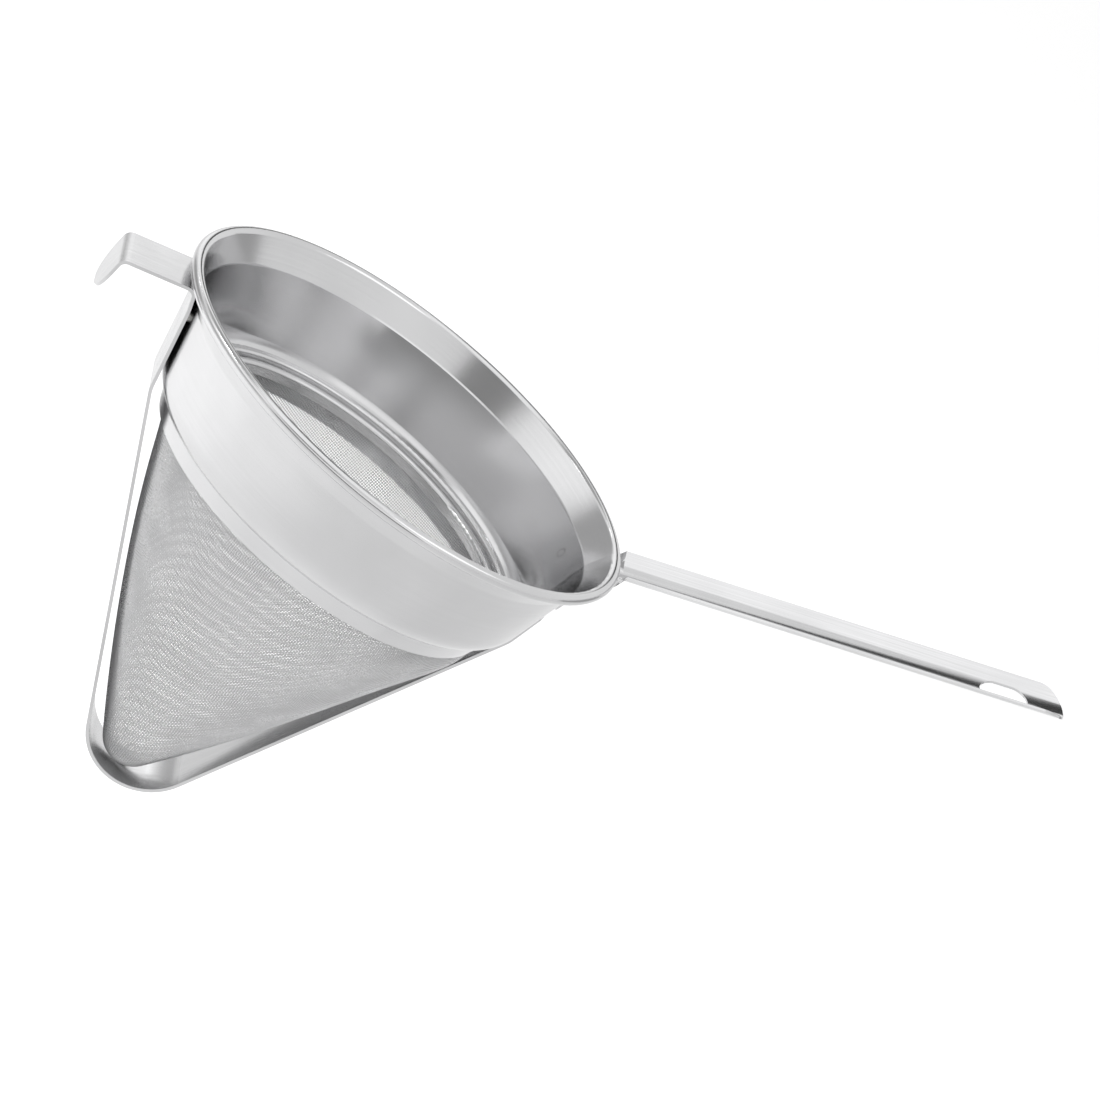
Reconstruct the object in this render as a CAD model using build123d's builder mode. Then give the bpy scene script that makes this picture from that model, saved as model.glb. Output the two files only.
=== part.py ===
from build123d import *
from math import asin, atan2, cos, hypot, pi, radians, sin, sqrt, tan
import os

# Fine-mesh chinois strainer, in millimetres. The origin is the centre of the mouth,
# level with the top of the rim. +Z points out of the mouth, the handle leaves along
# +X, and the pot hook is on the -X side.

os.makedirs("parts", exist_ok=True)

# Fits
seat_gap = 0.05            # between pieces that are rolled or pinched together
weld_gap = 0.3             # between two welded sheets, bridged by the weld nuggets

# Collar, pressed from one sheet
mouth_radius = 115.0       # over the rolled bead
sheet = 1.0
bead_radius = 2.75         # outside of the rolled bead
bead_curl = 290.0          # degrees of roll
flare_angle = 27.0         # degrees from upright, between the bead and the crease
crease_depth = 13.5        # below the mouth
crease_bend = 4.0
wall_taper = 12.4          # degrees from upright
shoulder_slope = 40.0      # degrees from level
shoulder_bend_share = 0.63  # of the shoulder's run, taken up by its bend to the wall
neck_depth = 54.6          # crease at the top of the neck, below the mouth
neck_inset = 25.1          # from the outside of the bead in to the inside of the neck
neck_bend = 2.0
neck_height = 8.4
neck_run = 3.2             # how far the neck draws in over its height

# Mesh cone
mesh_thickness = 0.8       # two crossed wires
mesh_gap = 0.7             # between the mesh and the neck's lower edge
mesh_length = 152.5        # from the neck's lower edge to the tip
mesh_tip_radius = 14.0
mesh_flank_radius = 960.0  # the flank bellies out a little

# Binding folded over the mesh's edge, and the ring that clamps it
binding_sheet = 0.8
binding_rise = 8.6         # top of the binding above the neck's crease
binding_width = 5.0
binding_bend = 1.5
inner_leg = 7.0            # the outer leg reaches down to the neck
ring_sheet = 0.8
ring_width = 4.3
ring_height = 5.5
ring_drop = 2.3            # ring's top below the binding's top
ring_bend = 1.8

# Guard strap and pot hook, bent from one strip
strip = 1.5
strap_width = 32.0
hook_reach = 141.0         # from the axis to the lug's outer corner
hook_fall = 13.1           # degrees below level
hook_clear = 3.3           # under the bead
hook_bend = 3.0            # inside the strip's two tight bends
lug_length = 20.5
lug_lean = 3.4             # degrees outwards from upright
lug_corner = 13.0
contact_drop = 4.0         # where the strap meets the wall, below the crease
knee_drop = 1.4            # below the neck's crease
knee_bend = 16.5
turn_radius = 26.5         # inside the strap's turn under the tip
turn_clear = 1.2           # under the mesh tip
turn_offset = 1.5          # the turn sits this far towards the handle
strap_end_drop = 22.0      # end of the strap on the handle side, below the crease
strap_corner = 5.0

# Handle, a shallow gutter with a flange on the collar
handle_sheet = 1.0
handle_width = 26.0
handle_hollow = 5.3
handle_rise = 19.0         # degrees above level
handle_reach = 314.0       # from the axis to the free end
handle_corner = 11.5
handle_clear = 3.1         # under the bead
root_width = 29.0
root_hollow = 0.3          # depth of the gutter where it passes under the bead
root_run = 0.8             # from the bead outwards to where the gutter deepens
neck_in_length = 4.0       # over which the gutter deepens
flange_width = 58.0
flange_height = 17.0
flange_corner = 5.0
flange_lap = 0.5           # flange's top above the root's upper face at the crease
slot_length = 22.7
slot_width = 14.6
slot_margin = 16.7         # from the slot to the handle's end

# Spot welds
weld_diameter = 5.0
hook_weld_drop = 7.5       # below the crease
strap_weld_margin = 6.5    # in from the strap's end on the handle side
flange_weld_drop = 9.0     # below the crease
strap_weld_share = 0.34    # of the strap's width, out from its middle
flange_weld_share = 0.39   # of the flange's width, out from its middle


# Places worked out from the sizes above
bead_middle = (mouth_radius - bead_radius, -bead_radius)
bead_start = 180 - flare_angle
lip = (
    bead_middle[0] + bead_radius * cos(radians(bead_start)),
    bead_middle[1] + bead_radius * sin(radians(bead_start)),
)
crease_radius = lip[0] - (lip[1] + crease_depth) * tan(radians(flare_angle))
neck_radius = mouth_radius - neck_inset
taper = tan(radians(wall_taper))
slope = tan(radians(shoulder_slope))
wall_drop = neck_depth - crease_depth + slope * neck_radius
shoulder_radius = (crease_radius - taper * wall_drop) / (1 - taper * slope)
shoulder_depth = neck_depth - (shoulder_radius - neck_radius) * slope
shoulder_run = hypot(shoulder_radius - neck_radius, neck_depth - shoulder_depth)
shoulder_turn = radians(90 - wall_taper - shoulder_slope)
shoulder_bend = shoulder_bend_share * shoulder_run / tan(shoulder_turn / 2)
neck_foot = (neck_radius - neck_run, -neck_depth - neck_height)


def wall_radius(depth):
    """Outside radius of the collar's straight wall at a depth below the mouth."""
    return crease_radius - (depth - crease_depth) * taper + sheet / cos(radians(wall_taper))


def flare_radius(depth):
    """Outside radius of the flare at a depth below the mouth."""
    flare = radians(flare_angle)
    return crease_radius + (crease_depth - depth) * tan(flare) + sheet / cos(flare)


def save(piece, name):
    """Label a finished piece and write it."""
    piece.label = name
    export_step(piece, f"parts/{name}.step")


def sheet_faces(points, bends, thickness):
    """Draw both faces of a bent sheet: one along the points, one to their right."""
    runs = [atan2(b[1] - a[1], b[0] - a[0]) for a, b in zip(points, points[1:])]
    turns = [(after - before + pi) % (2 * pi) - pi for before, after in zip(runs, runs[1:])]
    far_points = []
    for (across, along), run, turn in zip(points, [runs[0]] + runs, [0, *turns, 0]):
        heading = run + turn / 2
        shift = thickness / cos(turn / 2)
        far_points.append((across + shift * sin(heading), along - shift * cos(heading)))
    far_bends = [bend + thickness if turn > 0 else bend - thickness for bend, turn in zip(bends, turns)]
    near = FilletPolyline(*points, radius=bends)
    far = FilletPolyline(*far_points, radius=far_bends)
    return near, far


def sheet_outline(points, bends, thickness):
    """Outline of a bent sheet with square ends."""
    with BuildLine() as outline:
        near, far = sheet_faces(points, bends, thickness)
        Line(near @ 0, far @ 0)
        Line(near @ 1, far @ 1)
    return outline.edges()


# Collar: neck, shoulder, tapered wall, flare and rolled bead
with BuildPart() as collar:
    with BuildSketch(Plane.XZ):
        with BuildLine():
            near, far = sheet_faces(
                [
                    neck_foot,
                    (neck_radius, -neck_depth),
                    (shoulder_radius, -shoulder_depth),
                    (crease_radius, -crease_depth),
                    lip,
                ],
                [neck_bend, shoulder_bend, crease_bend],
                sheet,
            )
            near_roll = CenterArc(bead_middle, bead_radius, bead_start, -bead_curl)
            far_roll = CenterArc(bead_middle, bead_radius - sheet, bead_start, -bead_curl)
            Line(near @ 0, far @ 0)
            Line(near_roll @ 1, far_roll @ 1)
        make_face()
    revolve(axis=Axis.Z)
save(collar.part, "collar")


# Wire inside the bead
with BuildPart() as rim_wire:
    with BuildSketch(Plane.XZ):
        with Locations(bead_middle):
            Circle(bead_radius - sheet - seat_gap)
    revolve(axis=Axis.Z)
save(rim_wire.part, "rim_wire")


# Mesh cone: an upright edge, a slightly bellied flank and a round tip
mesh_radius = neck_foot[0] - mesh_gap
binding_top = binding_rise - neck_depth
mesh_edge = binding_top - binding_bend
mesh_tip = neck_foot[1] - mesh_length
tip_middle = (0, mesh_tip + mesh_tip_radius)


def flank_middle():
    """Centre of the flank's circle, which the tip's circle touches from inside."""
    reach = mesh_flank_radius - mesh_tip_radius
    across = mesh_radius - tip_middle[0]
    along = neck_foot[1] - tip_middle[1]
    apart = hypot(across, along)
    share = (reach**2 - mesh_flank_radius**2 + apart**2) / (2 * apart)
    aside = sqrt(reach**2 - share**2)
    return (
        tip_middle[0] + (across * share - along * aside) / apart,
        tip_middle[1] + (along * share + across * aside) / apart,
    )


def on_circle(middle, radius, towards):
    """Point on a circle in the direction of another point."""
    across = towards[0] - middle[0]
    along = towards[1] - middle[1]
    far = hypot(across, along)
    return (middle[0] + radius * across / far, middle[1] + radius * along / far)


def mesh_side(inwards):
    """One face of the mesh from its edge to the tip, this far inside the outer face."""
    middle = flank_middle()
    flank_radius = mesh_flank_radius - inwards
    tip_radius = mesh_tip_radius - inwards
    shoulder = on_circle(middle, flank_radius, (mesh_radius, neck_foot[1]))
    foot = on_circle(middle, flank_radius, tip_middle)
    half_way = ((shoulder[0] + foot[0]) / 2, (shoulder[1] + foot[1]) / 2)
    edge = Line((shoulder[0], mesh_edge), shoulder)
    flank = ThreePointArc(shoulder, on_circle(middle, flank_radius, half_way), foot)
    tip = ThreePointArc(
        foot,
        on_circle(tip_middle, tip_radius, (foot[0] / 2, mesh_tip)),
        (0, mesh_tip + inwards),
    )
    return Wire([edge.edge(), flank.edge(), tip.edge()])


with BuildPart() as mesh_cone:
    with BuildSketch(Plane.XZ):
        with BuildLine():
            outer = mesh_side(0)
            inner = mesh_side(mesh_thickness)
            Line(outer @ 0, inner @ 0)
            Line(outer @ 1, inner @ 1)
        make_face()
    revolve(axis=Axis.Z)
save(mesh_cone.part, "mesh_cone")


# Binding: a channel, open downwards, with the mesh's upper edge in it
binding_inner = mesh_radius - mesh_thickness - seat_gap - binding_sheet
binding_outer = binding_inner + binding_width
binding_foot = -neck_depth - (neck_radius - binding_outer - seat_gap) * neck_height / neck_run
with BuildPart() as mesh_binding:
    with BuildSketch(Plane.XZ):
        make_face(
            sheet_outline(
                [
                    (binding_inner, binding_top - inner_leg),
                    (binding_inner, binding_top),
                    (binding_outer, binding_top),
                    (binding_outer, binding_foot),
                ],
                [binding_bend, binding_bend],
                binding_sheet,
            )
        )
    revolve(axis=Axis.Z)
save(mesh_binding.part, "mesh_binding")


# Retaining ring: a channel, open downwards, pressed inside the binding
ring_inner = binding_inner - seat_gap - ring_width
ring_top = binding_top - ring_drop
with BuildPart() as retaining_ring:
    with BuildSketch(Plane.XZ):
        make_face(
            sheet_outline(
                [
                    (ring_inner, ring_top - ring_height),
                    (ring_inner, ring_top),
                    (ring_inner + ring_width, ring_top),
                    (ring_inner + ring_width, ring_top - ring_height),
                ],
                [ring_bend, ring_bend],
                ring_sheet,
            )
        )
    revolve(axis=Axis.Z)
save(retaining_ring.part, "retaining_ring")


# Guard strap: lug, hook, down the wall, round the tip and up to the wall again
def strap_on_wall(depth):
    """Distance from the axis to the strap's inner face beside the wall."""
    return wall_radius(depth) + weld_gap


def turn_corner(left, right, middle, radius):
    """Where the two runs that touch the turn's circle would meet below it."""
    heading_left = atan2(middle[1] - left[1], middle[0] - left[0])
    heading_left -= asin(radius / hypot(middle[0] - left[0], middle[1] - left[1]))
    heading_right = atan2(middle[1] - right[1], middle[0] - right[0])
    heading_right += asin(radius / hypot(middle[0] - right[0], middle[1] - right[1]))
    across = right[0] - left[0]
    along = right[1] - left[1]
    run = (across * sin(heading_right) - along * cos(heading_right)) / sin(heading_right - heading_left)
    return (left[0] + run * cos(heading_left), left[1] + run * sin(heading_left))


hook_depth = 2 * bead_radius + hook_clear
hook_corner = (-hook_reach, -hook_depth - (hook_reach - bead_middle[0]) * tan(radians(hook_fall)))
lug_foot = (
    hook_corner[0] - lug_length * sin(radians(lug_lean)),
    hook_corner[1] - lug_length * cos(radians(lug_lean)),
)
bend_radius = flare_radius(hook_depth) + weld_gap
bend_corner = (-bend_radius, -hook_depth + (bead_middle[0] - bend_radius) * tan(radians(hook_fall)))
contact_depth = crease_depth + contact_drop
knee_depth = neck_depth + knee_drop
right_knee = (strap_on_wall(knee_depth), -knee_depth)
left_knee = (-strap_on_wall(knee_depth), -knee_depth)
strap_end_depth = crease_depth + strap_end_drop
turn_middle = (turn_offset, mesh_tip - turn_clear + turn_radius)

with BuildPart() as guard_strap:
    with BuildSketch(Plane.XZ):
        make_face(
            sheet_outline(
                [
                    (strap_on_wall(strap_end_depth), -strap_end_depth),
                    right_knee,
                    turn_corner(left_knee, right_knee, turn_middle, turn_radius),
                    left_knee,
                    (-strap_on_wall(contact_depth), -contact_depth),
                    bend_corner,
                    hook_corner,
                    lug_foot,
                ],
                [knee_bend, turn_radius, knee_bend, knee_bend, hook_bend + strip, hook_bend + strip],
                -strip,
            )
        )
    extrude(amount=strap_width / 2, both=True)
    ends = guard_strap.faces().sort_by(lambda face: abs(face.area - strip * strap_width))[:2]
    lug_end, wall_end = ends.sort_by(Axis.X)
    fillet(lug_end.edges().filter_by(Axis.Y, reverse=True), lug_corner)
    fillet(wall_end.edges().filter_by(Axis.Y, reverse=True), strap_corner)
save(guard_strap.part, "guard_strap")


# Handle: flange on the collar, flat root under the bead, then the gutter
lean = radians(handle_rise)


def handle_plane(reach):
    """Plane across the handle where its floor is this far from the axis."""
    floor = -2 * bead_radius - handle_clear + (reach - bead_middle[0]) * tan(lean)
    return Plane(origin=(reach, 0, floor), x_dir=(0, 1, 0), z_dir=(cos(lean), 0, sin(lean)))


def gutter(width, hollow):
    """Outline across the handle where its floor is this far below its edges."""
    half = width / 2
    upper = (half**2 + hollow**2) / (2 * hollow)
    lower = upper + handle_sheet
    edge = asin(half / upper)
    left_foot = (-lower * sin(edge), upper - lower * cos(edge))
    right_foot = (lower * sin(edge), upper - lower * cos(edge))
    with BuildLine() as outline:
        ThreePointArc((-half, hollow), (0, 0), (half, hollow))
        Line((half, hollow), right_foot)
        ThreePointArc(right_foot, (0, -handle_sheet), left_foot)
        Line(left_foot, (-half, hollow))
    return outline.edges()


root_reach = mouth_radius + root_run
gutter_reach = root_reach + neck_in_length
end_length = (handle_reach - gutter_reach) / cos(lean)
slot_seat = handle_plane(handle_reach - (slot_margin + slot_length / 2) * cos(lean))
slot_plane = Plane(origin=slot_seat.origin, x_dir=slot_seat.z_dir, z_dir=slot_seat.y_dir)
root_depth = 2 * bead_radius + handle_clear + (bead_middle[0] - crease_radius) * tan(lean)
flange_top = root_depth - flange_lap
flange_foot = flange_top + flange_height

with BuildPart() as flange:
    with BuildSketch(Plane.XZ):
        make_face(
            sheet_outline(
                [
                    (wall_radius(flange_foot) + weld_gap, -flange_foot),
                    (wall_radius(crease_depth) + weld_gap, -crease_depth),
                    (flare_radius(flange_top) + weld_gap, -flange_top),
                ],
                [crease_bend],
                handle_sheet,
            )
        )
    revolve(axis=Axis.Z)
    with BuildSketch(Plane.YZ):
        with Locations((0, -(flange_top + flange_foot) / 2)):
            RectangleRounded(flange_width, flange_height, flange_corner)
    extrude(amount=mouth_radius, mode=Mode.INTERSECT)

with BuildPart() as handle:
    with BuildSketch(handle_plane(gutter_reach)) as full_section:
        make_face(gutter(handle_width, handle_hollow))
    extrude(full_section.sketch, amount=end_length)
    with BuildSketch(handle_plane(root_reach)) as flat_section:
        make_face(gutter(root_width, root_hollow))
    loft([flat_section.sketch, full_section.sketch])
    extrude(flat_section.sketch, amount=-(root_reach - crease_radius) / cos(lean))
    with BuildSketch(Plane.XZ) as inside_collar:
        with BuildLine():
            Polyline(
                (0, -2 * bead_radius),
                (flare_radius(2 * bead_radius) + weld_gap, -2 * bead_radius),
                (flare_radius(crease_depth) + weld_gap, -crease_depth),
                (0, -crease_depth),
                close=True,
            )
        make_face()
    revolve(inside_collar.sketch, axis=Axis.Z, mode=Mode.SUBTRACT)
    add(flange.part)
    with BuildSketch(slot_plane) as cut_away:
        with Locations((slot_margin + slot_length / 2, 0)):
            Rectangle(2 * handle_corner, 2 * handle_width)
        with Locations((slot_margin + slot_length / 2 - handle_width, 0)):
            RectangleRounded(2 * handle_width, handle_width, handle_corner, mode=Mode.SUBTRACT)
        SlotOverall(slot_length, slot_width)
    extrude(cut_away.sketch, amount=handle_hollow + handle_sheet, both=True, mode=Mode.SUBTRACT)
save(handle.part, "handle")


# Spot welds: each nugget fills the gap between the collar and the sheet on it
def weld_nuggets(depth, aside, strap_side, strap, thickness, flat):
    """Nuggets at these distances to the side of a flat strap's or a curved flange's middle."""
    with BuildPart() as nuggets:
        wall = wall_radius(depth)
        for across in aside:
            turn = asin(across / wall)
            outwards = Vector(strap_side * cos(turn), sin(turn), -taper).normalized()
            seat = Vector(strap_side * wall * cos(turn), across, -depth) - outwards * (sheet / 2)
            with BuildSketch(Plane(origin=seat, z_dir=outwards)):
                Circle(weld_diameter / 2)
            lift = wall / cos(turn) - wall if flat else 0
            extrude(amount=(sheet + thickness) / 2 + weld_gap + lift)
        add(collar.part, mode=Mode.SUBTRACT)
        add(strap, mode=Mode.SUBTRACT)
    return nuggets.part


strap_spread = strap_width * strap_weld_share
flange_spread = flange_width * flange_weld_share
hook_weld_depth = crease_depth + hook_weld_drop
strap_weld_depth = strap_end_depth + strap_weld_margin
flange_weld_depth = crease_depth + flange_weld_drop
strap_pair = (-strap_spread, strap_spread)
flange_row = (-flange_spread, 0, flange_spread)
hook_welds = weld_nuggets(hook_weld_depth, strap_pair, -1, guard_strap.part, strip, True)
strap_welds = weld_nuggets(strap_weld_depth, strap_pair, 1, guard_strap.part, strip, True)
flange_welds = weld_nuggets(flange_weld_depth, flange_row, 1, handle.part, handle_sheet, False)
save(hook_welds, "hook_side_welds")
save(strap_welds, "handle_side_welds")
save(flange_welds, "handle_welds")
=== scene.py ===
import bpy
import numpy as np
from math import atan2, cos, hypot, pi, radians, sin, sqrt
from mathutils import Matrix, Vector


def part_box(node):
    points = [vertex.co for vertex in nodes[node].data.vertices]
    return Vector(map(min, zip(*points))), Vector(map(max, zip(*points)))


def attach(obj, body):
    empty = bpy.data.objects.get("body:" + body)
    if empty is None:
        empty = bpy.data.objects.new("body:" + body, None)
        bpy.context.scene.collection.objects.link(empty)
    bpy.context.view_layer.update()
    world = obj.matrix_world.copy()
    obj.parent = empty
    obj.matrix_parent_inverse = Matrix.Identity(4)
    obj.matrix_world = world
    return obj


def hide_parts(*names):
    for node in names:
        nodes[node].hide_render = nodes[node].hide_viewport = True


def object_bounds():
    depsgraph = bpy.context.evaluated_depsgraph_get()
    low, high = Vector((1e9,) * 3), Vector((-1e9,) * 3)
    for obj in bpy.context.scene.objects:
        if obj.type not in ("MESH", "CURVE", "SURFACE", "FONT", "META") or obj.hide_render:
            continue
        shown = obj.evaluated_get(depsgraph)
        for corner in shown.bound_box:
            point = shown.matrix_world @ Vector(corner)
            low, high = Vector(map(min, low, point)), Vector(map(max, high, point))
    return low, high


# Looks of the fine-mesh chinois strainer, in metres. The frame gives its solids; the
# woven mesh and its seam are built here, with sizes of their own.

mm = 0.001
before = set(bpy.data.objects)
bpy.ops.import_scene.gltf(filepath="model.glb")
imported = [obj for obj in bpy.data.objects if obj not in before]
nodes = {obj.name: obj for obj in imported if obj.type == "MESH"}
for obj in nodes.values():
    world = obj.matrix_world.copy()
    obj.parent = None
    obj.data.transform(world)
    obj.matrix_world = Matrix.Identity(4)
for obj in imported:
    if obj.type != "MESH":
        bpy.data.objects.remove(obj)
cad_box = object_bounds()
mesh_low, mesh_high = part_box("mesh_cone")


# Camera: where the photograph was taken from
camera_turn = radians(-16.47)
camera_height = radians(19.96)
camera_roll = radians(41.26)
camera_place = Vector((-0.48947, -1.95188, 0.72268))
image_width = 1100
focal_pixels = 5000
sensor_width = 36.0
sight_reach = 20.0


def make_camera():
    """Camera at the photograph's viewing angle, rolled as the object lies in the picture."""
    towards = Vector((
        sin(camera_turn) * cos(camera_height),
        -cos(camera_turn) * cos(camera_height),
        sin(camera_height),
    ))
    level_right = Vector((cos(camera_turn), sin(camera_turn), 0))
    level_up = towards.cross(level_right)
    right = level_right * cos(camera_roll) + level_up * sin(camera_roll)
    up = level_up * cos(camera_roll) - level_right * sin(camera_roll)
    camera = bpy.data.objects.new("camera", bpy.data.cameras.new("camera"))
    camera.data.sensor_width = sensor_width
    camera.data.lens = sensor_width * focal_pixels / image_width
    camera.data.clip_end = sight_reach
    turn = Matrix((right, up, towards)).transposed().to_4x4()
    camera.matrix_world = Matrix.Translation(camera_place) @ turn
    bpy.context.collection.objects.link(camera)
    bpy.context.scene.camera = camera


# Node helpers
def node_tree(owner):
    """Empty node tree of a material or world."""
    owner.use_nodes = True
    tree = owner.node_tree
    tree.nodes.clear()
    return tree


def join(tree, value, socket):
    """Give a socket a link from another socket, or a plain value."""
    if isinstance(value, bpy.types.NodeSocket):
        tree.links.new(value, socket)
    else:
        socket.default_value = value


def math_node(tree, operation, *values):
    """Math node on values or sockets."""
    node = tree.nodes.new("ShaderNodeMath")
    node.operation = operation
    for socket, value in zip(node.inputs, values):
        join(tree, value, socket)
    return node.outputs[0]


def vector_node(tree, operation, *values):
    """Vector math node on values or sockets."""
    node = tree.nodes.new("ShaderNodeVectorMath")
    node.operation = operation
    for socket, value in zip(node.inputs, values):
        join(tree, value, socket)
    return node.outputs["Value" if operation == "DISTANCE" else "Vector"]


def noise(tree, vector, detail, roughness=0.5):
    """Noise from 0 to 1, with one bump to each unit of the vector."""
    node = tree.nodes.new("ShaderNodeTexNoise")
    node.inputs["Scale"].default_value = 1.0
    node.inputs["Detail"].default_value = detail
    node.inputs["Roughness"].default_value = roughness
    tree.links.new(vector, node.inputs["Vector"])
    return node.outputs["Fac"]


def remap(tree, value, from_low, from_high, low, high):
    """Value taken smoothly from one range to another and kept within it."""
    node = tree.nodes.new("ShaderNodeMapRange")
    node.interpolation_type = "SMOOTHSTEP"
    tree.links.new(value, node.inputs["Value"])
    node.inputs["From Min"].default_value = from_low
    node.inputs["From Max"].default_value = from_high
    node.inputs["To Min"].default_value = low
    node.inputs["To Max"].default_value = high
    return node.outputs["Result"]


def place_coordinates(tree):
    """Places on the object, in metres."""
    return tree.nodes.new("ShaderNodeTexCoord").outputs["Object"]


def white_where_seen(tree):
    """1 for rays from the camera and for reflected and transmitted ones, 0 for the others."""
    path = tree.nodes.new("ShaderNodeLightPath")
    seen = math_node(tree, "MAXIMUM", path.outputs["Is Camera Ray"], path.outputs["Is Glossy Ray"])
    return math_node(tree, "MAXIMUM", seen, path.outputs["Is Transmission Ray"])


def finish_material(tree, shader):
    """Send a shader to the material's output."""
    output = tree.nodes.new("ShaderNodeOutputMaterial")
    tree.links.new(shader.outputs[0], output.inputs["Surface"])


# Studio: pale floor, soft lamps, grey flags outside the picture
world_light = 0.6
floor_drop = 250 * mm
floor_height = cad_box[0][2] - floor_drop
floor_half = 6.0
floor_tone = 0.8
floor_glow = 0.33              # in the steel
floor_whiteness = 0.15         # on top of that in the picture
panel_distance = 3.6
panel_steps = 8
spot_width = radians(46)
spot_radius = 0.2


def make_world():
    """White studio, with a plain level for the light that it gives."""
    world = bpy.data.worlds.new("studio")
    bpy.context.scene.world = world
    tree = node_tree(world)
    background = tree.nodes.new("ShaderNodeBackground")
    background.inputs["Color"].default_value = (1, 1, 1, 1)
    strength = math_node(tree, "MULTIPLY_ADD", white_where_seen(tree), 1 - world_light, world_light)
    tree.links.new(strength, background.inputs["Strength"])
    output = tree.nodes.new("ShaderNodeOutputWorld")
    tree.links.new(background.outputs[0], output.inputs["Surface"])


def flat_mesh(name, width, height):
    """Object of one rectangle round its own origin."""
    mesh = bpy.data.meshes.new(name)
    signs = ((-1, -1), (1, -1), (1, 1), (-1, 1))
    mesh.from_pydata([(x * width / 2, y * height / 2, 0) for x, y in signs], [], [(0, 1, 2, 3)])
    thing = bpy.data.objects.new(name, mesh)
    bpy.context.collection.objects.link(thing)
    return thing


def make_floor():
    """Pale floor well under the strainer, which hangs by its hook."""
    floor = flat_mesh("floor", 2 * floor_half, 2 * floor_half)
    floor.location = (0, 0, floor_height)
    material = bpy.data.materials.new("floor_paper")
    tree = node_tree(material)
    paper = tree.nodes.new("ShaderNodeBsdfDiffuse")
    paper.inputs["Color"].default_value = (floor_tone, floor_tone, floor_tone, 1)
    glow = tree.nodes.new("ShaderNodeEmission")
    whiteness = tree.nodes.new("ShaderNodeLightPath").outputs["Is Camera Ray"]
    whiteness = math_node(tree, "MULTIPLY", whiteness, floor_whiteness)
    strength = math_node(tree, "MULTIPLY_ADD", white_where_seen(tree), floor_glow, whiteness)
    tree.links.new(strength, glow.inputs["Strength"])
    both = tree.nodes.new("ShaderNodeAddShader")
    tree.links.new(paper.outputs[0], both.inputs[0])
    tree.links.new(glow.outputs[0], both.inputs[1])
    finish_material(tree, both)
    floor.data.materials.append(material)


def place_facing(thing, azimuth, elevation, distance):
    """Place a lamp round the object, facing it, with azimuths counted as the camera's."""
    turn = radians(azimuth)
    height = radians(elevation)
    back = Vector((sin(turn) * cos(height), -cos(turn) * cos(height), sin(height)))
    thing.rotation_mode = "QUATERNION"
    thing.location = back * distance
    thing.rotation_quaternion = back.to_track_quat("Z", "Y")


def make_panel(name, azimuths, elevations, level):
    """Curved studio panel that the steel reflects: a flag where its level is low, a softbox above 1."""
    rows = np.radians(np.linspace(*elevations, panel_steps + 1))
    columns = np.radians(np.linspace(*azimuths, panel_steps + 1))
    height, turn = np.meshgrid(rows, columns, indexing="ij")
    points = panel_distance * np.stack(
        (np.sin(turn) * np.cos(height), -np.cos(turn) * np.cos(height), np.sin(height)), axis=-1
    )
    corner = np.arange(panel_steps * (panel_steps + 1)).reshape(panel_steps, -1)[:, :-1].ravel()
    below = corner + panel_steps + 1
    faces = np.stack((corner, below, below + 1, corner + 1), axis=-1)
    mesh = bpy.data.meshes.new(name)
    mesh.from_pydata(points.reshape(-1, 3).tolist(), [], faces.tolist())
    panel = bpy.data.objects.new(name, mesh)
    bpy.context.collection.objects.link(panel)
    material = bpy.data.materials.new(name)
    tree = node_tree(material)
    light = tree.nodes.new("ShaderNodeEmission")
    light.inputs["Strength"].default_value = level
    finish_material(tree, light)
    mesh.materials.append(material)
    panel.visible_camera = False


def make_lamp(name, azimuth, elevation, distance, size, power):
    """Softbox overhead."""
    data = bpy.data.lights.new(name, "AREA")
    data.shape = "SQUARE"
    data.size = size
    data.energy = power
    lamp = bpy.data.objects.new(name, data)
    bpy.context.collection.objects.link(lamp)
    place_facing(lamp, azimuth, elevation, distance)


def make_floor_spot(name, place, target, power):
    """Soft spot that brightens the paper on one side of the object and doesn't reach the object."""
    data = bpy.data.lights.new(name, "SPOT")
    data.energy = power
    data.spot_size = spot_width
    data.spot_blend = 1.0
    data.shadow_soft_size = spot_radius
    spot = bpy.data.objects.new(name, data)
    bpy.context.collection.objects.link(spot)
    spot.rotation_mode = "QUATERNION"
    spot.location = place
    spot.rotation_quaternion = (Vector(place) - Vector(target)).to_track_quat("Z", "Y")


# Steel
line_length = 60 * mm          # of the lines along a strip
line_detail = 1.5
line_roughness = 0.6
cloud_detail = 3.0
noise_reach = 0.3              # how far the noise strays from its middle
tone_shares = (0.93, 1.05)     # of the steel's tone, where it is dull and where it is polished
roughness_shares = (1.25, 0.8)
spun_stretch = 0.4


def spun_lines(tree, spacing):
    """Coordinates that change fast across lines round the axis, and slowly along them."""
    split = tree.nodes.new("ShaderNodeSeparateXYZ")
    tree.links.new(place_coordinates(tree), split.inputs[0])
    x, y, z = split.outputs
    squares = math_node(tree, "MULTIPLY_ADD", x, x, math_node(tree, "MULTIPLY", y, y))
    reach = math_node(tree, "SQRT", squares)
    joined = tree.nodes.new("ShaderNodeCombineXYZ")
    tree.links.new(math_node(tree, "DIVIDE", x, reach), joined.inputs[0])
    tree.links.new(math_node(tree, "DIVIDE", y, reach), joined.inputs[1])
    profile = math_node(tree, "DIVIDE", math_node(tree, "SUBTRACT", z, reach), spacing)
    tree.links.new(profile, joined.inputs[2])
    return joined.outputs[0]


def long_lines(tree, spacing):
    """Coordinates that change fast across lines along a strip bent in the XZ plane."""
    return vector_node(tree, "DIVIDE", place_coordinates(tree), (line_length, spacing, line_length))


def even_grain(tree, spacing):
    """Coordinates that change alike in every direction."""
    return vector_node(tree, "DIVIDE", place_coordinates(tree), (spacing, spacing, spacing))


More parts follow.
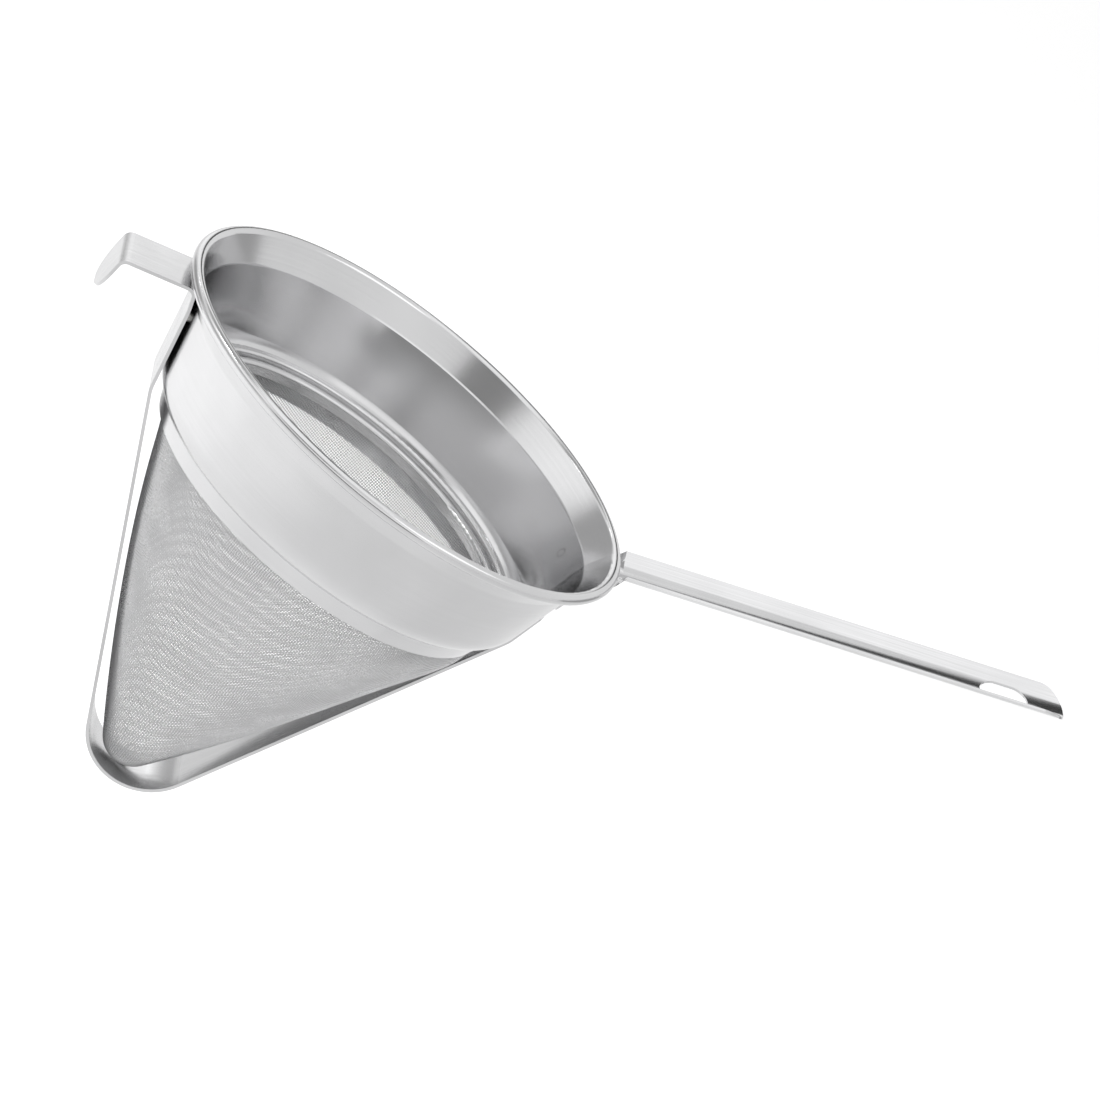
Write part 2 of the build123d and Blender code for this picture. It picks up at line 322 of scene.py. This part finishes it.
def ring_mark(tree, place, radius, width):
    """1 on a ring round a place, falling to 0 at the ring's width on either side."""
    away = vector_node(tree, "DISTANCE", place_coordinates(tree), place)
    beside = math_node(tree, "ABSOLUTE", math_node(tree, "SUBTRACT", away, radius))
    return remap(tree, beside, 0, width, 1, 0)


class Steel:
    """Steel with fine lines, soft clouds in its polish and a faint relief."""

    def __init__(self, name, tone, roughness, lines, spacing, relief, cloud_size, line_share=1.0, blue=1.01):
        self.material = bpy.data.materials.new(name)
        tree = self.tree = node_tree(self.material)
        self.shader = tree.nodes.new("ShaderNodeBsdfPrincipled")
        self.shader.inputs["Metallic"].default_value = 1.0
        self.fine = noise(tree, lines(tree, spacing), line_detail, line_roughness)
        clouds = noise(tree, even_grain(tree, cloud_size), cloud_detail)
        mixed = math_node(tree, "MULTIPLY_ADD", self.fine, line_share, clouds)
        middle = (1 + line_share) / 2
        low = middle - noise_reach
        high = middle + noise_reach
        colour = tree.nodes.new("ShaderNodeMix")
        colour.data_type = "RGBA"
        for socket, share in zip((colour.inputs["A"], colour.inputs["B"]), tone_shares):
            level = share * tone
            socket.default_value = (level, level, level * blue, 1)
        tree.links.new(remap(tree, mixed, low, high, 0, 1), colour.inputs["Factor"])
        tree.links.new(colour.outputs["Result"], self.shader.inputs["Base Color"])
        dull, polished = (roughness * share for share in roughness_shares)
        tree.links.new(remap(tree, mixed, low, high, dull, polished), self.shader.inputs["Roughness"])
        self.bump = tree.nodes.new("ShaderNodeBump")
        self.bump.inputs["Strength"].default_value = 1.0
        self.bump.inputs["Distance"].default_value = relief
        tree.links.new(self.fine, self.bump.inputs["Height"])
        tree.links.new(self.bump.outputs[0], self.shader.inputs["Normal"])
        finish_material(tree, self.shader)

    def stretch_round(self, anisotropy):
        """Stretch the highlights across the spun lines."""
        self.shader.inputs["Anisotropic"].default_value = anisotropy
        tangent = self.tree.nodes.new("ShaderNodeTangent")
        tangent.direction_type = "RADIAL"
        tangent.axis = "Z"
        self.tree.links.new(tangent.outputs[0], self.shader.inputs["Tangent"])
        return self

    def mark_welds(self, places):
        """Dark, faintly raised rings where spot welds show through the sheet."""
        rings = [ring_mark(self.tree, place, mark_radius, mark_width) for place in places]
        marks = rings[0]
        for ring in rings[1:]:
            marks = math_node(self.tree, "MAXIMUM", marks, ring)
        plain = self.shader.inputs["Base Color"].links[0].from_socket
        colour = self.tree.nodes.new("ShaderNodeMix")
        colour.data_type = "RGBA"
        colour.inputs["B"].default_value = mark_colour
        self.tree.links.new(plain, colour.inputs["A"])
        self.tree.links.new(math_node(self.tree, "MULTIPLY", marks, mark_strength), colour.inputs["Factor"])
        self.tree.links.new(colour.outputs["Result"], self.shader.inputs["Base Color"])
        height = math_node(self.tree, "MULTIPLY_ADD", marks, mark_lift, self.fine)
        self.tree.links.new(height, self.bump.inputs["Height"])


# Woven mesh: straight wires in the flat cloth, rolled into the cone
wire_pitch = 1.05 * mm
wire_radius = 0.2 * mm
wire_sides = 3
mesh_thickness = 0.8 * mm
tip_radius = 14 * mm
flank_radius = 960 * mm
neck_foot = -63 * mm           # neck's lower edge, where the mesh leaves it
cloth_top = -52 * mm           # the wires' ends, inside the binding
cloth_turn = radians(-107)     # side where the wires run up and down
seam_turn = radians(-8)
seam_width = 4.5 * mm
seam_step = 2 * mm
seam_lift = 2.1                # half the seam's thickness, in wire radii
seam_flat_share = 0.84         # of the seam's width, between its bevels
belly_out = 4.0 * mm           # how far the mesh swells on the handle's side
belly_in = 1.3 * mm            # and how far it is drawn in on the hook's side
belly_share = 0.08             # how far down its flank it swells the most
pieces_each_way = 2


class MeshProfile:
    """Middle of the mesh's thickness, by distance from the tip of the cone it is rolled from."""

    def __init__(self):
        # the flank is an arc through the neck's foot that touches the ball of the tip
        half = mesh_thickness / 2
        top = mesh_high[0]
        self.top_radius = top - half
        self.tip_radius = tip_radius - half
        self.flank_radius = flank_radius - half
        self.tip_height = mesh_low[2] + tip_radius
        rise = neck_foot - self.tip_height
        apart = hypot(top, rise)
        reach = flank_radius - tip_radius
        along = (reach**2 - flank_radius**2 + apart**2) / (2 * apart)
        aside = sqrt(reach**2 - along**2)
        self.middle_out = (top * along - rise * aside) / apart
        self.middle_up = self.tip_height + (rise * along + top * aside) / apart
        self.turn_top = atan2(neck_foot - self.middle_up, top - self.middle_out)
        self.turn_foot = atan2(self.tip_height - self.middle_up, -self.middle_out)
        self.length = (self.turn_top - self.turn_foot) * self.flank_radius
        foot = self.middle_out + self.flank_radius * cos(self.turn_foot)
        self.spread = (self.top_radius - foot) / self.length
        self.start = foot / self.spread
        self.end = self.start + self.length

    def place(self, run):
        """Radius, height and the outward normal's two parts at distances from the cone's tip."""
        turn = self.turn_foot + (run - self.start) / self.flank_radius
        out, up = np.cos(turn), np.sin(turn)
        radius = self.middle_out + self.flank_radius * out
        height = self.middle_up + self.flank_radius * up
        tip_out = np.minimum(run * self.spread / self.tip_radius, 1)
        tip_up = -np.sqrt(1 - tip_out**2)
        tip = run < self.start
        edge = run > self.end
        radius = np.select([tip, edge], [tip_out * self.tip_radius, self.top_radius], radius)
        tip_place = self.tip_height + tip_up * self.tip_radius
        height = np.select([tip, edge], [tip_place, neck_foot + run - self.end], height)
        out = np.select([tip, edge], [tip_out, 1.0], out)
        up = np.select([tip, edge], [tip_up, 0.0], up)
        return radius, height, out, up


def on_cone(profile, run, turn, lift):
    """Places and outward normals on the rolled cloth, lifted off its middle."""
    radius, height, out, up = profile.place(run)
    below = np.clip((profile.end - run) / profile.length, 0, 1) / belly_share
    belly = below * np.exp(1 - below)
    towards_handle = (1 + np.cos(turn)) / 2
    swell = belly * (belly_out * towards_handle**2 - belly_in * (1 - towards_handle)**2)
    reach = radius + (lift + swell) * out
    places = np.stack((reach * np.cos(turn), reach * np.sin(turn), height + lift * up), axis=-1)
    normals = np.stack((out * np.cos(turn), out * np.sin(turn), up), axis=-1)
    return places, normals


def from_cloth(profile, across, along, lift):
    """Places and normals on the cone of points of the flat cloth."""
    turn = cloth_turn + np.arctan2(across, along) / profile.spread
    return on_cone(profile, np.hypot(across, along), turn, lift)


def new_piece(name, points, faces, material):
    """Mesh object from arrays of points and four-cornered faces, in the mesh cone's place."""
    mesh = bpy.data.meshes.new(name)
    mesh.vertices.add(len(points))
    mesh.vertices.foreach_set("co", points.astype(np.float32).ravel())
    mesh.loops.add(faces.size)
    mesh.loops.foreach_set("vertex_index", faces.astype(np.int32).ravel())
    mesh.polygons.add(len(faces))
    mesh.polygons.foreach_set("loop_start", np.arange(0, faces.size, faces.shape[1], dtype=np.int32))
    mesh.update(calc_edges=True)
    mesh.validate()
    mesh.shade_smooth()
    mesh.materials.append(material)
    piece = bpy.data.objects.new(name, mesh)
    bpy.context.collection.objects.link(piece)
    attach(piece, "root")
    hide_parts("mesh_cone")


def wire_rings(profile, across, along, lift, lengthwise):
    """Points round the wires at each crossing."""
    centres, normals = from_cloth(profile, across, along, lift)
    step = wire_pitch / 4
    aside, onwards = (0, step) if lengthwise else (step, 0)
    ahead = from_cloth(profile, across + aside, along + onwards, 0)[0]
    behind = from_cloth(profile, across - aside, along - onwards, 0)[0]
    sideways = np.cross(ahead - behind, normals)
    sideways /= np.linalg.norm(sideways, axis=-1, keepdims=True)
    turns = np.arange(wire_sides) * 2 * pi / wire_sides + pi / 2
    rings = [
        centres + wire_radius * (cos(turn) * sideways + sin(turn) * normals)
        for turn in turns
    ]
    return np.stack(rings, axis=-2)


def wire_faces(held):
    """Faces of the wires between neighbouring crossings along the second axis."""
    index = np.cumsum(held).reshape(held.shape) - 1
    joined = held[:, :-1] & held[:, 1:]
    near = index[:, :-1][joined] * wire_sides
    far = index[:, 1:][joined] * wire_sides
    faces = []
    for corner in range(wire_sides):
        beside = (corner + 1) % wire_sides
        faces.append(np.stack((near + corner, near + beside, far + beside, far + corner), axis=-1))
    return np.concatenate(faces)


def make_wires(name, rings, held, material):
    """Wires that lie along the second axis, shared out over pieces of about one size."""
    rows = np.flatnonzero(held.any(axis=1))
    share_out = np.cumsum(held.sum(axis=1))[rows] * pieces_each_way / (held.sum() + 1)
    for number in range(pieces_each_way):
        part = rows[share_out.astype(int) == number]
        points = rings[part][held[part]].reshape(-1, 3)
        new_piece(name + "_" + str(number + 1), points, wire_faces(held[part]), material)


def make_weave(profile, material):
    """Two families of wires that pass over and under each other."""
    top = profile.end + cloth_top - neck_foot
    count = int(top / wire_pitch) + 1
    steps = np.arange(-count, count + 1)
    across, along = np.meshgrid(steps * wire_pitch, steps * wire_pitch, indexing="ij")
    lift = wire_radius * np.where((steps[:, None] + steps[None, :]) % 2, 1, -1)
    run = np.hypot(across, along)
    flat_turn = np.arctan2(across, along)
    last = (seam_turn - cloth_turn) * profile.spread
    first = last - 2 * pi * profile.spread
    held = (run > wire_pitch) & (run < top) & (flat_turn < last) & (flat_turn > first)
    warp = wire_rings(profile, across, along, lift, lengthwise=True)
    make_wires("warp_wires", warp, held, material)
    weft = wire_rings(profile, across, along, -lift, lengthwise=False)
    make_wires("weft_wires", weft.swapaxes(0, 1), held.T, material)


def make_seam(profile, material):
    """Flattened strip where the cloth's two edges are joined."""
    runs = np.arange(seam_step, profile.end + cloth_top - neck_foot, seam_step)
    flat = seam_flat_share / 2
    section = [(-1 / 2, 0), (-flat, 1), (flat, 1), (1 / 2, 0), (flat, -1), (-flat, -1)]
    lines = []
    for side, lift in section:
        radius = profile.place(runs)[0]
        turn = seam_turn + side * np.minimum(seam_width / radius, 1)
        lines.append(on_cone(profile, runs, turn, lift * seam_lift * wire_radius)[0])
    points = np.stack(lines, axis=1)
    count = len(section)
    near = np.arange(len(runs) - 1)[:, None] * count + np.arange(count)
    beside = np.arange(len(runs) - 1)[:, None] * count + (np.arange(count) + 1) % count
    faces = np.stack((near, beside, beside + count, near + count), axis=-1).reshape(-1, 4)
    new_piece("seam_strip", points.reshape(-1, 3), faces, material)


# Dressing
corner_angle = radians(25)
mark_radius = 2.1 * mm
mark_width = 0.6 * mm
mark_colour = (0.2, 0.19, 0.18, 1)
mark_strength = 0.5
mark_lift = 12.0               # times the spun lines' relief
handle_marks = [
    (99.2 * mm, 22.8 * mm, -23.2 * mm),
    (101.8 * mm, -1.0 * mm, -22.5 * mm),
    (99.2 * mm, -22.8 * mm, -23.2 * mm),
]
hook_marks = [(-101.4 * mm, side * 10.9 * mm, -21.2 * mm) for side in (-1, 1)]


def dress(name, steel):
    """Give a CAD node its steel and smooth its faces, with its corners kept."""
    node = nodes[name]
    node.data.shade_smooth()
    node.data.set_sharp_from_angle(angle=corner_angle)
    node.data.materials.clear()
    node.data.materials.append(steel.material)


collar_steel = Steel(
    "spun_steel", tone=0.61, roughness=0.16, lines=spun_lines, spacing=0.35 * mm,
    relief=0.0005 * mm, cloud_size=60 * mm, line_share=0.25,
).stretch_round(spun_stretch)
collar_steel.mark_welds(handle_marks + hook_marks)
ring_steel = Steel(
    "rolled_steel", tone=0.58, roughness=0.25, lines=spun_lines, spacing=0.25 * mm,
    relief=0.006 * mm, cloud_size=25 * mm,
).stretch_round(spun_stretch)
wire_steel = Steel(
    "drawn_wire", tone=0.6, roughness=0.3, lines=spun_lines, spacing=0.15 * mm,
    relief=0.005 * mm, cloud_size=20 * mm,
)
strap_steel = Steel(
    "strip_steel", tone=0.61, roughness=0.22, lines=long_lines, spacing=0.3 * mm,
    relief=0.005 * mm, cloud_size=40 * mm,
)
handle_steel = Steel(
    "polished_steel", tone=0.62, roughness=0.12, lines=long_lines, spacing=0.35 * mm,
    relief=0.003 * mm, cloud_size=50 * mm,
)
weld_steel = Steel(
    "weld_steel", tone=0.5, roughness=0.4, lines=even_grain, spacing=0.4 * mm,
    relief=0.05 * mm, cloud_size=3 * mm, blue=0.96,
)
weave_steel = Steel(
    "woven_wire", tone=0.7, roughness=0.3, lines=even_grain, spacing=0.6 * mm,
    relief=0.02 * mm, cloud_size=18 * mm,
)

make_camera()
profile = MeshProfile()
make_weave(profile, weave_steel.material)
make_seam(profile, weave_steel.material)
dress("collar", collar_steel)
dress("rim_wire", wire_steel)
dress("mesh_binding", ring_steel)
dress("retaining_ring", ring_steel)
dress("mesh_cone", weave_steel)
dress("guard_strap", strap_steel)
dress("handle", handle_steel)
for name in ("hook_side_welds", "handle_side_welds", "handle_welds"):
    dress(name, weld_steel)

make_world()
make_floor()
make_lamp("top_softbox", azimuth=-90, elevation=75, distance=4.0, size=4.0, power=18)
make_floor_spot("left_paper_spot", place=(-2.2, 0.6, 1.6), target=(-0.95, 0.2, floor_height), power=210)
make_floor_spot("back_paper_spot", place=(-1.4, 2.9, 1.6), target=(-0.45, 1.35, floor_height), power=110)
make_panel("front_low_flag", azimuths=(-56, 22), elevations=(-6, 9), level=0.28)
make_panel("front_softbox", azimuths=(-40, 30), elevations=(11, 27), level=1.3)
make_panel("front_high_flag", azimuths=(-54, -20), elevations=(29, 44), level=0.28)
make_panel("side_softbox", azimuths=(15, 80), elevations=(38, 60), level=1.8)
make_panel("right_low_flag", azimuths=(100, 130), elevations=(-6, 10), level=0.45)
make_panel("left_softbox", azimuths=(-118, -62), elevations=(18, 34), level=1.35)
make_panel("left_low_flag", azimuths=(-118, -64), elevations=(-2, 17), level=0.7)
make_panel("left_high_flag", azimuths=(-160, -95), elevations=(36, 60), level=0.5)
make_panel("left_far_flag", azimuths=(-155, -121), elevations=(-2, 20), level=0.5)
make_panel("back_softbox", azimuths=(-179, -162), elevations=(5, 40), level=1.3)
make_panel("back_flag", azimuths=(165, 175.5), elevations=(15, 62), level=0.06)
bpy.context.scene.view_settings.view_transform = "Standard"
